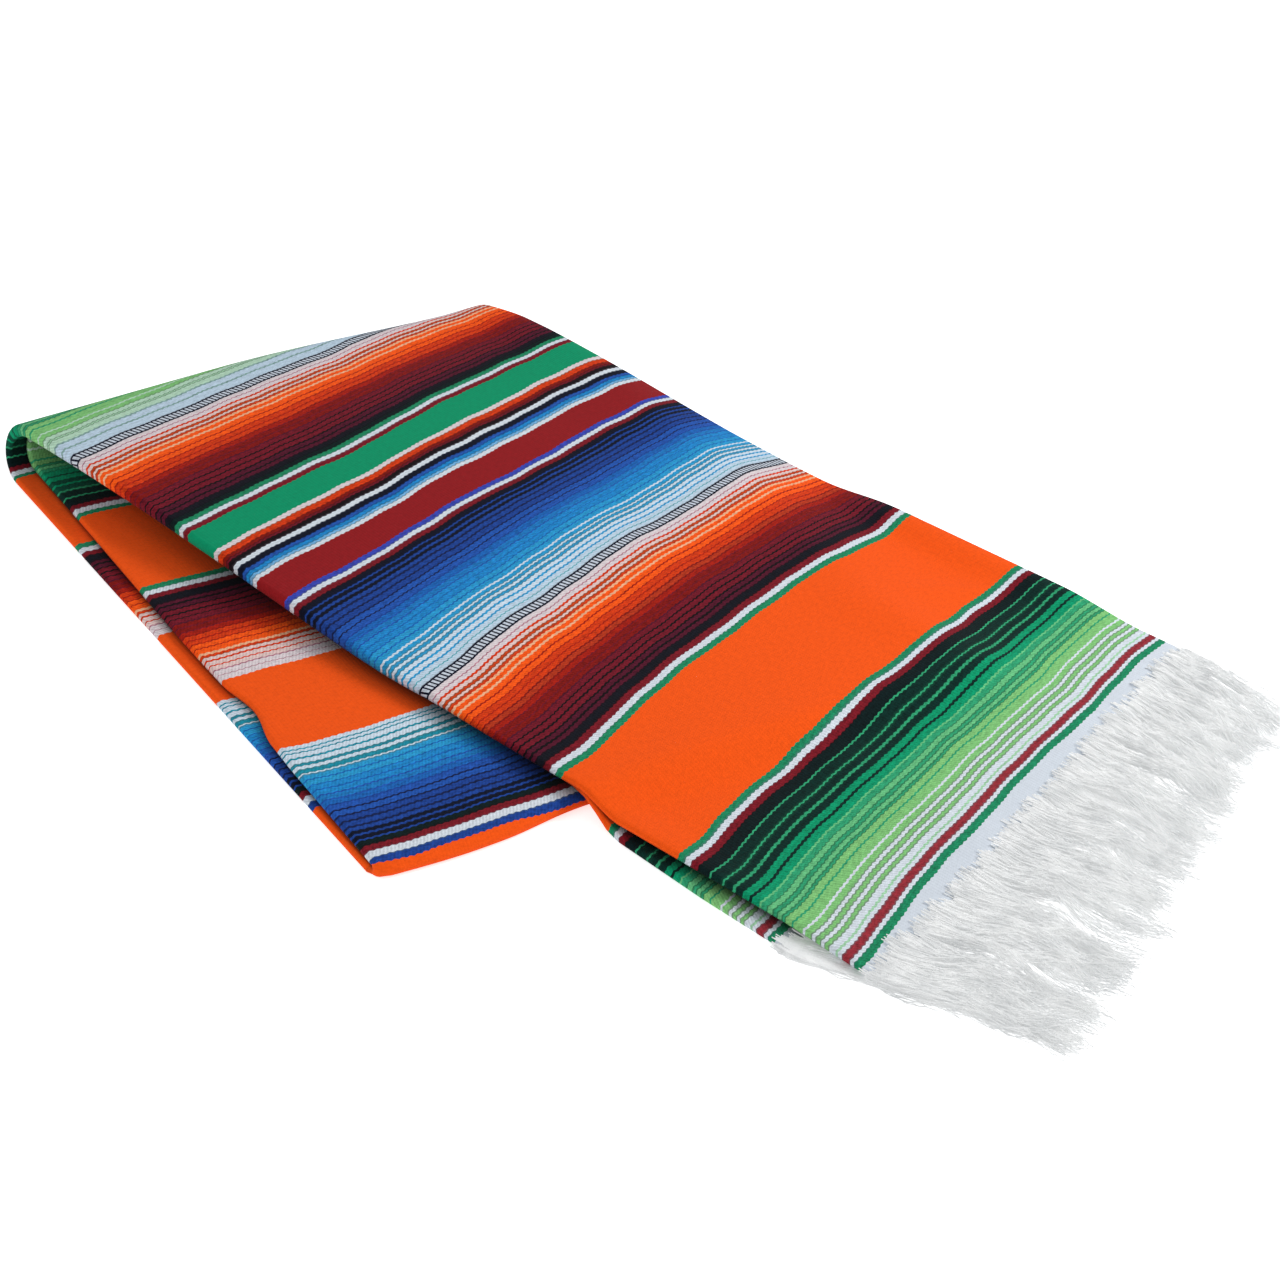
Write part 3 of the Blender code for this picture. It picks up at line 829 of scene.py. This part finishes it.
# %% Material of the cloth
WARP_PITCH = 4.1 * MM  # two warp pairs
ZIGZAG = 0.36 * MM
WEFT_PITCH = 1.3 * MM  # real weft is about 0.8 mm: drawn coarser, so that it shows
TWIST_PITCH = 2.05 * MM
WEFT_WAVER = 1.3 * MM
WAVER_SCALE = 60.0  # a noise's scale counts its waves in a metre
FIBRE_SCALE = 620.0
FIBRE_STRETCH = (1.0, 0.4, 1.0)
SPECKLE = 1.9
# painted shade of the twisted plies, as a share of the colour
PAINTED_PLY_SHADE = 0.11
CREVICE_SHADE_REACH = 22 * MM  # painted shade: the cloth's colour darkens where its own faces stand this near
RAMP_STOPS = 31
SHADOW_LINE_WIDTH = 0.8 * MM  # width of the painted shadow line between two cords
# the painted shadow line goes only between cords wider than the next size, and keeps the share after it of
# their colour
SHADOW_LINE_FROM = 1.7 * MM
SHADOW_LINE_DARKNESS = 0.5
PLAIN_WIDTH = 12 * MM  # a band wider than this is smooth cloth, and a narrower one is a cord
LADDER_INK = "#10142A"
LADDER_HALF = 3.5 * MM
LADDER_RAIL = 2.3 * MM
LADDER_PITCH = 3.2 * MM
LADDER_RUNG = 0.40  # share of the pitch
LADDER_SLANT = 0.35  # share of a rung's height by which it leans


def mix_colour(share, first, second):
    inputs = {0: share, 6: first, 7: second}
    return add(share.id_data, "ShaderNodeMix", {"data_type": "RGBA"}, inputs).outputs[2]


def chart_stops():
    """(place, colour) at each change of colour; alpha is relief: painted shadow 0, plain 0.5, cord 1."""
    stops = []
    before = None
    for band in BANDS:
        cord = band.width < PLAIN_WIDTH
        colour = linear(DYES[band.dye])[:3]
        reach = 0.0
        if before and cord and min(band.width, before.width) > SHADOW_LINE_FROM and before.width < PLAIN_WIDTH:
            reach = SHADOW_LINE_WIDTH / 2
            # painted shadow: a darker mix of the two neighbouring dyes stands between two cords
            painted_shadow = [SHADOW_LINE_DARKNESS * math.sqrt(a * b) for a, b in zip(linear(DYES[before.dye]), colour)]
            stops.append((band.start - reach, (*painted_shadow, 0.0)))
        stops.append((band.start + reach, (*colour, 1.0 if cord else 0.5)))
        before = band
    return stops


def chart_colour(tree, place_socket):
    """Colour ramps for the whole chart, one after another, and the relief from their alpha."""
    stops = chart_stops()
    colour = None
    relief = None
    for first in range(0, len(stops), RAMP_STOPS):
        chosen = stops[first:first + RAMP_STOPS]
        start = chosen[0][0]
        length = max(chosen[-1][0] - start, MM)
        share = over(minus(place_socket, start), length)
        ramp = add(tree, "ShaderNodeValToRGB", inputs={0: share})
        ramp.color_ramp.interpolation = "CONSTANT"
        elements = ramp.color_ramp.elements
        elements.remove(elements[1])
        elements[0].position = 0.0
        elements[0].color = chosen[0][1]
        for at, shown in chosen[1:]:
            elements.new((at - start) / length).color = shown
        if colour is None:
            colour, relief = ramp.outputs
        else:
            past = math_node("GREATER_THAN", place_socket, start)
            colour = mix_colour(past, colour, ramp.outputs[0])
            relief = out(tree, "ShaderNodeMix", inputs={0: past, 2: relief, 3: ramp.outputs[1]})
    return colour, relief


def middles(dye):
    return [band.start + band.width / 2 for band in BANDS if band.dye == dye]


def woven_material():
    material, tree, shader = new_material("dyed_weft", {
        "Roughness": 0.95, "Sheen Weight": 0.03, "Sheen Roughness": 0.5, "Specular IOR Level": 0.10,
    })
    cloth = out(tree, "ShaderNodeUVMap", {"uv_map": "weave"})
    parts = add(tree, "ShaderNodeSeparateXYZ", inputs={0: cloth})
    along, aside = parts.outputs[0], parts.outputs[1]

    # borders: a slow waver of the weft, and the zigzag of the warp
    slow = noise(cloth, WAVER_SCALE, 3.0).outputs[0]
    laid = plus(along, times(minus(slow, 0.5), WEFT_WAVER))
    tooth = math_node("PINGPONG", aside, WARP_PITCH / 2)
    tooth = minus(times(tooth, 4 / WARP_PITCH), 1.0)
    colour, relief = chart_colour(tree, plus(laid, times(tooth, ZIGZAG)))
    cord = math_node("GREATER_THAN", relief, 0.75)

    # the ladder line: navy rails and leaning rungs over a pale band
    ink = out(tree, "ShaderNodeRGB")
    ink.default_value = linear(LADDER_INK)
    for middle in middles("ladder"):
        off = minus(laid, middle)
        reach = magnitude(off)
        leaning = plus(aside, times(off, LADDER_SLANT))
        step = math_node("FRACT", over(leaning, LADDER_PITCH))
        rung = math_node("LESS_THAN", step, LADDER_RUNG)
        rail = math_node("GREATER_THAN", reach, LADDER_RAIL)
        inside = math_node("LESS_THAN", reach, LADDER_HALF)
        inked = times(inside, math_node("MAXIMUM", rail, rung))
        colour = mix_colour(inked, colour, ink)

    # uneven dye in fine fibres, calmer in plain and in pale cloth; painted shade of the slanted plies in
    # the cords; and painted shade in the crevices
    stretched = {0: cloth, 1: FIBRE_STRETCH}
    drawn_out = out(tree, "ShaderNodeVectorMath", {"operation": "MULTIPLY"}, stretched)
    fibre = noise(drawn_out, FIBRE_SCALE, 3.0, 0.7).outputs[0]
    # painted shade: slanted light and dark stripes of the twisted plies, on cords only
    ply_shading = plus(over(aside, TWIST_PITCH), over(along, 1.7 * TWIST_PITCH))
    ply_shading = sine(times(ply_shading, 2 * math.pi))
    value = out(tree, "ShaderNodeRGBToBW", inputs={0: colour})
    calm = plus(times(cord, 0.7), 0.3)
    calm = times(calm, minus(1.15, value))
    speckle = times(times(minus(fibre, 0.5), SPECKLE), calm)
    shade = plus(speckle, times(times(ply_shading, cord), PAINTED_PLY_SHADE))
    # painted shade: occlusion from the cloth itself darkens its colour in folds, under edges and inside the
    # loop, down to a fifth of it
    own_cloth = {"samples": 6, "only_local": True}
    painted_shade_ao = add(tree, "ShaderNodeAmbientOcclusion", own_cloth, {"Distance": CREVICE_SHADE_REACH})
    painted_crevice_shade = mapped(painted_shade_ao.outputs["AO"], 0.20, 1.0, 0.05, 0.85)
    shade = times(plus(shade, 1.0), painted_crevice_shade)
    tree.links.new(scaled(colour, shade), shader.inputs["Base Color"])

    # relief: warp ribs, weft, pale yarn that stands prouder, cords with valleys between them, and fibres
    rib = magnitude(sine(times(aside, math.pi / TWIST_PITCH)))
    parity = math_node("FLOOR", over(aside, TWIST_PITCH))
    phase = plus(over(along, WEFT_PITCH), times(parity, 0.5))
    weft = magnitude(sine(times(phase, math.pi)))
    pale = math_node("POWER", value, 0.5)
    height = 0.0
    for form, size in ((rib, 0.35), (weft, 0.35), (pale, 0.6), (relief, 0.7), (fibre, 0.5)):
        height = plus(height, times(form, size))
    roughen(shader, height, 0.7, 0.35 * MM)
    return material


panel.data.materials.append(woven_material())
print(len(panel.data.materials[0].node_tree.nodes), "nodes in the cloth's material")

# %% [markdown]
# ## Fringe
# The fringe is the warp itself, which comes out of the woven end in soft bundles of white
# cotton and acrylic yarn. Each bundle is drawn as one guide curve that wavers and comes down
# to the surface. Geometry Nodes then turn each guide into many yarns: they are copies of it,
# pushed aside by a random amount and by a noise that grows towards the tips.

# %% Guide curves of a fringe
Fringe = namedtuple(
    "Fringe", "name node inner share length_near length_far root_z rest lean_near lean_far yarns seed"
)
# Metres and degrees; share places the woven end on the way to the loop, and after the share
# called rest of its length a yarn comes down to the surface
FRINGES = (
    Fringe("outer_yarns", "outer_fringe", False, 0.0, 0.105, 0.080, 0.0069, 0.42, 22, -5, 30, 11),
    Fringe(
        "inner_yarns", "inner_fringe", True, INNER_WOVEN_SHARE, 0.084, 0.074, 0.0036, 0.0, 21, -4, 24, 23
    ),
)
BUNDLES = 84
EDGE_BUNDLES = 5  # further ones, which come out of the rounded side of the near fold
BESIDE_EDGE = 0.9 * MM
LENGTH_SWELL = -0.003
FRINGE_INSET = 0.5 * MM
GUIDE_STEPS = 11
ON_HEADER = 5.0 * MM  # the yarns come out of the header's face this far before its end
NEAR_ON_HEADER = 5.0 * MM  # and up to this much more over the near share of the header
NEAR_SHARE = 0.2
ABOVE_HEADER = 0.2 * MM
LEAN_SPREAD = 17.0  # degrees, one bundle to the next
EDGE_CALM = 8  # the outermost bundles stray less: over one part in this many at each side
LENGTH_SPREAD = 0.05
WAVER = 5.0 * MM
TIP_HEIGHT = 1.6 * MM
ARCH = 3.0 * MM
SETTLE = 0.16  # share of its length in which a yarn comes down from the header


def guide_curves(fringe):
    """One poly curve for each bundle, from the woven end to its tip."""
    rng = random.Random(fringe.seed)
    edges = INNER_EDGES if fringe.inner else OUTER_EDGES
    skin = INNER_SKIN if fringe.inner else 0.0
    line = blend_line(stripe_line(HEADER_END), loop_line(0.0), fringe.share)
    near = between(edges, line(0.0), "near") + FRINGE_INSET
    far = between(edges, line(STRIP_WIDTH / 2), "far") - FRINGE_INSET
    data = bpy.data.curves.new(fringe.name + "_guides", "CURVE")
    data.dimensions = "3D"
    for k in range(-EDGE_BUNDLES, BUNDLES):
        share = (max(k, 0) + 0.5) / BUNDLES
        y_root = near + (far - near) * share
        lean = fringe.lean_near + (fringe.lean_far - fringe.lean_near) * share
        free = min(1.0, EDGE_CALM * share, EDGE_CALM * (1 - share))
        lean = math.radians(lean + free * rng.gauss(0, LEAN_SPREAD / 2))
        length = fringe.length_near + (fringe.length_far - fringe.length_near) * share
        length += 4 * LENGTH_SWELL * share * (1 - share)
        length *= 1 + rng.uniform(-LENGTH_SPREAD, LENGTH_SPREAD)
        waves = [
            (rng.uniform(0, 2 * math.pi), rng.uniform(1.0, 2.2), rng.uniform(0.4, 1.0))
            for _ in range(2)
        ]
        arch = ARCH * rng.uniform(0.1, 1.0)
        low = fringe.root_z + rng.uniform(-0.8, 1.4) * MM
        before = ON_HEADER * rng.uniform(0.7, 1.7) + NEAR_ON_HEADER * (1 - smooth(share / NEAR_SHARE))
        top = place(skin, line(y_root) - before, y_root, 0.0).z + ABOVE_HEADER
        if k < 0:
            y_root = near - BESIDE_EDGE
            top += HALF_THICK * k / (EDGE_BUNDLES + 1)
        spline = data.splines.new("POLY")
        spline.points.add(GUIDE_STEPS)
        for step in range(GUIDE_STEPS + 1):
            t = step / GUIDE_STEPS
            run = -before + (length + before) * t
            aside = sum(
                WAVER * size * t * (math.sin(start + 2 * math.pi * turns * t) - math.sin(start) * (1 - t))
                for start, turns, size in waves
            )
            x = line(y_root) + math.cos(lean) * run - math.sin(lean) * aside
            y = y_root + math.sin(lean) * max(0.0, run) + math.cos(lean) * aside
            z = top + (low - top) * smooth((t - before / length) / SETTLE)
            z += (TIP_HEIGHT - z) * smooth((t - fringe.rest) / (1 - fringe.rest))
            z += arch * math.sin(math.pi * t) ** 2
            spline.points[step].co = (x - ORIGIN.x, y - ORIGIN.y, z, 1.0)
    return put(fringe.name, data)


# %% Geometry Nodes that spin the yarns
CLUMP_SCALE = 70.0
HAIR_SCALE = 1800.0


def wander(position, fineness, shift, size):
    """A noise vector round zero: its waves in a metre, the shift that parts the yarns, and its size."""
    sample = summed(scaled(position, fineness), shift)
    wave = noise(sample, 1.0, 1.0).outputs[1]
    from_middle = {0: wave, 1: (0.5, 0.5, 0.5)}
    centred = out(wave.id_data, "ShaderNodeVectorMath", {"operation": "SUBTRACT"}, from_middle)
    return scaled(centred, size)


def random_value(low, high, owner, seed):
    """A random number for each yarn, or a random vector where low and high are vectors."""
    vector = isinstance(low, tuple)
    settings = {"data_type": "FLOAT_VECTOR" if vector else "FLOAT"}
    first = 0 if vector else 2
    inputs = {first: low, first + 1: high, "ID": owner, "Seed": seed}
    made = add(owner.id_data, "FunctionNodeRandomValue", settings, inputs)
    return made.outputs[0 if vector else 1]


def yarn_nodes(material):
    """Guide curves in, a mesh of yarns out."""
    tree = bpy.data.node_groups.new("spin_yarns", "GeometryNodeTree")
    tree.interface.new_socket("Geometry", in_out="INPUT", socket_type="NodeSocketGeometry")
    sizes = (
        ("Yarns", "NodeSocketInt", 20), ("Bundle spread", "NodeSocketFloat", 3.0 * MM),
        ("Waver", "NodeSocketFloat", 15 * MM), ("Radius", "NodeSocketFloat", 0.34 * MM),
        ("Ceiling", "NodeSocketFloat", 1.0), ("Seed", "NodeSocketInt", 1),
    )
    for name, kind, value in sizes:
        tree.interface.new_socket(name, in_out="INPUT", socket_type=kind).default_value = value
    tree.interface.new_socket("Geometry", in_out="OUTPUT", socket_type="NodeSocketGeometry")
    asked = tree.nodes.new("NodeGroupInput").outputs
    seed, waver, radius = asked["Seed"], asked["Waver"], asked["Radius"]
    other_seed = plus(seed, 7.0)
    factor = out(tree, "GeometryNodeSplineParameter")
    owner = out(tree, "GeometryNodeCurveOfPoint")
    where = out(tree, "GeometryNodeInputPosition")

    # copies of each guide, pushed aside, made wavy and cut to uneven lengths
    copied = {0: asked["Geometry"], "Amount": asked["Yarns"]}
    yarns = out(tree, "GeometryNodeDuplicateElements", {"domain": "SPLINE"}, copied)
    aside = random_value((-1.0, -1.0, -0.5), (1.0, 1.0, 0.8), owner, seed)
    offset = scaled(aside, times(asked["Bundle spread"], mapped(factor, 0.7, 1.5)))
    jump = random_value((-9.0, -9.0, -9.0), (9.0, 9.0, 9.0), owner, other_seed)
    slow = times(waver, plus(factor, 0.22))
    quick = times(waver, math_node("MINIMUM", factor, 0.45))
    offset = summed(offset, wander(where, 26.0, scaled(jump, 0.12), slow))
    offset = summed(offset, wander(where, 55.0, jump, quick))
    yarns = out(tree, "GeometryNodeSetPosition", inputs={0: yarns, "Offset": offset})
    first = random_value(0.0, 0.08, owner, seed)
    last = random_value(0.84, 1.0, owner, other_seed)
    yarns = out(tree, "GeometryNodeTrimCurve", {"mode": "FACTOR"}, {0: yarns, "Start": first, "End": last})

    # none below the surface, and none above the ceiling
    now = add(tree, "ShaderNodeSeparateXYZ", inputs={0: where}).outputs
    level = math_node("MAXIMUM", now[2], times(radius, 1.2))
    level = math_node("MINIMUM", level, asked["Ceiling"])
    rested = out(tree, "ShaderNodeCombineXYZ", inputs={0: now[0], 1: now[1], 2: level})
    yarns = out(tree, "GeometryNodeSetPosition", inputs={0: yarns, "Position": rested})

    # tubes that thin towards their tips
    thin = times(radius, mapped(factor, 1.0, 0.5))
    yarns = out(tree, "GeometryNodeSetCurveRadius", inputs={0: yarns, "Radius": thin})
    ring = {"Resolution": 3, "Radius": 1.0}
    profile = out(tree, "GeometryNodeCurvePrimitiveCircle", {"mode": "RADIUS"}, ring)
    tubes = add(tree, "GeometryNodeCurveToMesh", inputs={0: yarns, 1: profile, "Fill Caps": True})
    if "Scale" in tubes.inputs:
        tree.links.new(out(tree, "GeometryNodeInputRadius"), tubes.inputs["Scale"])
    shaded = out(tree, "GeometryNodeSetShadeSmooth", inputs={0: tubes.outputs[0]})
    real = out(tree, "GeometryNodeRealizeInstances", inputs={0: shaded})
    dressed = add(tree, "GeometryNodeSetMaterial", inputs={0: real})
    dressed.inputs["Material"].default_value = material
    tree.links.new(dressed.outputs[0], tree.nodes.new("NodeGroupOutput").inputs[0])
    return tree


def yarn_material():
    """Bleached cotton and acrylic yarn: white and fibrous, with a painted glow that lightens its shade."""
    material, tree, shader = new_material("bleached_yarn", {
        "Roughness": 0.8, "Sheen Weight": 0.2, "Specular IOR Level": 0.2,
        # painted light: the yarn's emission lifts its shade so that the fringe stays white
        "Emission Color": linear("#F3F4F4"), "Emission Strength": 0.18,
    })
    here = add(tree, "ShaderNodeTexCoord").outputs["Object"]
    clumps = noise(here, CLUMP_SCALE, 4.0).outputs[0]
    ramp = add(tree, "ShaderNodeValToRGB", inputs={0: clumps})
    for element, position, code in zip(ramp.color_ramp.elements, (0.3, 0.7), ("#DDDFE0", "#F4F5F5")):
        element.position = position
        element.color = linear(code)
    tree.links.new(ramp.outputs[0], shader.inputs["Base Color"])
    roughen(shader, noise(here, HAIR_SCALE, 2.0).outputs[0], 0.4, 0.2 * MM)
    return material


def spin(fringe, tree):
    """Run the nodes on the guides and keep the result as a plain mesh."""
    guides = guide_curves(fringe)
    modifier = guides.modifiers.new("yarns", "NODES")
    modifier.node_group = tree
    inputs = {item.name: item.identifier for item in tree.interface.items_tree if item.in_out == "INPUT"}
    modifier[inputs["Yarns"]] = fringe.yarns
    modifier[inputs["Seed"]] = fringe.seed
    if fringe.inner:
        modifier[inputs["Ceiling"]] = HALF_THICK  # under the outer half
    depsgraph = bpy.context.evaluated_depsgraph_get()
    data = bpy.data.meshes.new_from_object(guides.evaluated_get(depsgraph))
    data.name = fringe.name
    bpy.data.objects.remove(guides, do_unlink=True)
    print(fringe.name, len(data.polygons), "faces")
    return put(fringe.name, data)


yarn_tree = yarn_nodes(yarn_material())
yarn_pieces = {fringe.node: spin(fringe, yarn_tree) for fringe in FRINGES}

# %% [markdown]
# ## Floor and light
# The blanket lies on a plain white surface in soft studio light. A wide light above and behind
# the right side gives the soft shade under the near edges, and a weaker one in front of the
# near side fills it. The floor adds white of its own, and more of it where the camera looks.

# %% Floor and lights
FLOOR_SIDE = 60.0
FLOOR_GLOW = 0.24  # what the floor adds to the light on the cloth
FLOOR_SHOWN = 0.44  # and what it adds to its own white in the picture
FLOOR_DROP = 0.2 * MM
SKY = 0.42

Softbox = namedtuple("Softbox", "name place side power")
SOFTBOXES = (
    Softbox("key", (0.8, 0.95, 1.15), 0.8, 16.5),
    Softbox("fill", (-0.2, -1.7, 1.1), 1.4, 9),
)


def add_floor():
    material, tree, shader = new_material("matt_white_board", {
        "Base Color": linear("#FAFBFC"), "Roughness": 0.95, "Emission Color": linear("#FFFFFF"),
    })
    seen = add(tree, "ShaderNodeLightPath").outputs["Is Camera Ray"]
    glow = plus(times(seen, FLOOR_SHOWN), FLOOR_GLOW)
    tree.links.new(glow, shader.inputs["Emission Strength"])
    data = bpy.data.meshes.new("floor")
    half = FLOOR_SIDE / 2
    corners = [(x * half, y * half, -FLOOR_DROP) for x, y in ((-1, -1), (1, -1), (1, 1), (-1, 1))]
    data.from_pydata(corners, [], [(0, 1, 2, 3)])
    data.materials.append(material)
    floor = put("floor", data)


def add_softbox(box):
    """A square light that faces the middle of the blanket."""
    data = bpy.data.lights.new(box.name, "AREA")
    data.size = box.side
    data.energy = box.power
    light = put(box.name, data)
    light.location = box.place
    light.rotation_euler = (-Vector(box.place)).to_track_quat("-Z", "Y").to_euler()


def add_world():
    world = bpy.data.worlds.new("studio")
    world.use_nodes = True
    background = world.node_tree.nodes["Background"]
    background.inputs["Color"].default_value = linear("#FFFFFF")
    background.inputs["Strength"].default_value = SKY
    bpy.context.scene.world = world


add_floor()
add_world()
for box in SOFTBOXES:
    add_softbox(box)
bpy.context.scene.view_settings.view_transform = "Standard"

# %% [markdown]
# ## Bodies and replaced solids
# The panel stands for all seven cloth solids, and each set of yarns for its own fringe. The
# panel is a tube all round, so its flat size is the strip's face and back together by its
# length from woven end to woven end.

# %% Bodies and replaced solids
CLOTH_NODES = (
    "outer_half_top", "inner_half_top", "outer_half_loop", "inner_half_loop", "outer_half_under",
    "inner_half_under", "centre_band_fold",
)

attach(panel, BODY)
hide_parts(*CLOTH_NODES)
for cad_node, piece in yarn_pieces.items():
    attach(piece, BODY)
    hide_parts(cad_node)
